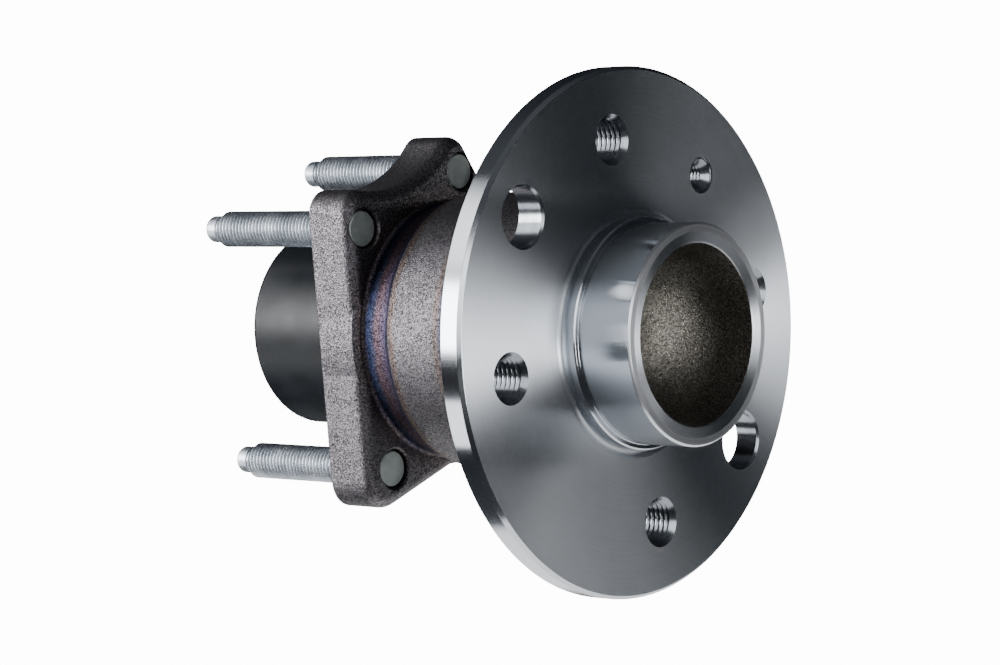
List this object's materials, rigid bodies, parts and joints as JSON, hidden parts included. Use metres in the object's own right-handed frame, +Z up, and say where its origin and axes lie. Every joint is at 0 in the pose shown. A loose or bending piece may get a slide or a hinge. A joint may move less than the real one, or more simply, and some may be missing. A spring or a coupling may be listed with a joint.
{
  "type": "wheel hub bearing",
  "caption": "Flanged wheel hub unit: a turning wheel flange with pilot on two ball rows in a flanged carrier with axle studs and a capped wheel speed sensor.",
  "frame": {"origin": "on the axis of rotation, in the plane of the wheel's mounting face", "axes": "+Y along the axis towards the vehicle, -Y out towards the wheel, +Z up with the closer pair of carrier studs at the top"},
  "size_m": [0.136, 0.1435, 0.136],
  "materials": {
    "turned_steel": "finely turned, bare",
    "bearing_steel": "ground and polished",
    "zinc_steel": "zinc plated, satin",
    "sintered_steel": "sintered, matt",
    "forged_steel": "shot-blasted forging",
    "seal_steel": "pressed sheet steel",
    "seal_rubber": "matt",
    "black_cap": "satin black coating",
    "connector_plastic": "moulded, satin",
    "bobbin_plastic": "moulded, natural",
    "copper": "enamelled wire",
    "ferrite": "sintered, dark",
    "terminal_tin": "tinned",
    "cage_nylon": "moulded, natural",
    "ball_steel": "polished"
  },
  "bodies": {
    "carrier": {"carrier_ring": "forged_steel", "carrier_studs": "zinc_steel", "seal_core": "seal_steel", "seal_lips": "seal_rubber", "rear_cap": "black_cap", "sensor_housing": "connector_plastic", "sensor_bobbin": "bobbin_plastic", "sensor_winding": "copper", "sensor_magnet": "ferrite", "sensor_pole_ring": "sintered_steel", "connector_terminals": "terminal_tin", "sensor_o_ring": "seal_rubber"},
    "hub": {"hub_spindle": "turned_steel", "inner_ring": "bearing_steel", "spindle_nut": "zinc_steel", "tone_ring": "sintered_steel"},
    "outboard_cage": {"cage_outboard": "cage_nylon", "ball_outboard_01": "ball_steel", "ball_outboard_02": "ball_steel", "ball_outboard_03": "ball_steel", "ball_outboard_04": "ball_steel", "ball_outboard_05": "ball_steel", "ball_outboard_06": "ball_steel", "ball_outboard_07": "ball_steel", "ball_outboard_08": "ball_steel", "ball_outboard_09": "ball_steel", "ball_outboard_10": "ball_steel", "ball_outboard_11": "ball_steel", "ball_outboard_12": "ball_steel"},
    "inboard_cage": {"cage_inboard": "cage_nylon", "ball_inboard_01": "ball_steel", "ball_inboard_02": "ball_steel", "ball_inboard_03": "ball_steel", "ball_inboard_04": "ball_steel", "ball_inboard_05": "ball_steel", "ball_inboard_06": "ball_steel", "ball_inboard_07": "ball_steel", "ball_inboard_08": "ball_steel", "ball_inboard_09": "ball_steel", "ball_inboard_10": "ball_steel", "ball_inboard_11": "ball_steel", "ball_inboard_12": "ball_steel"}
  },
  "joints": [
    {"name": "hub_spin", "type": "hinge", "parent": "carrier", "child": "hub", "pos_m": [0, 0.04, 0], "axis": [0, 1, 0], "continuous": true},
    {"name": "outboard_cage_spin", "type": "hinge", "parent": "carrier", "child": "outboard_cage", "pos_m": [0, 0.028, 0], "axis": [0, 1, 0], "continuous": true},
    {"name": "inboard_cage_spin", "type": "hinge", "parent": "carrier", "child": "inboard_cage", "pos_m": [0, 0.05, 0], "axis": [0, 1, 0], "continuous": true}
  ],
  "couplings": [
    {"joint": "outboard_cage_spin", "follows": "hub_spin", "ratio": 0.4149},
    {"joint": "inboard_cage_spin", "follows": "hub_spin", "ratio": 0.4149}
  ]
}
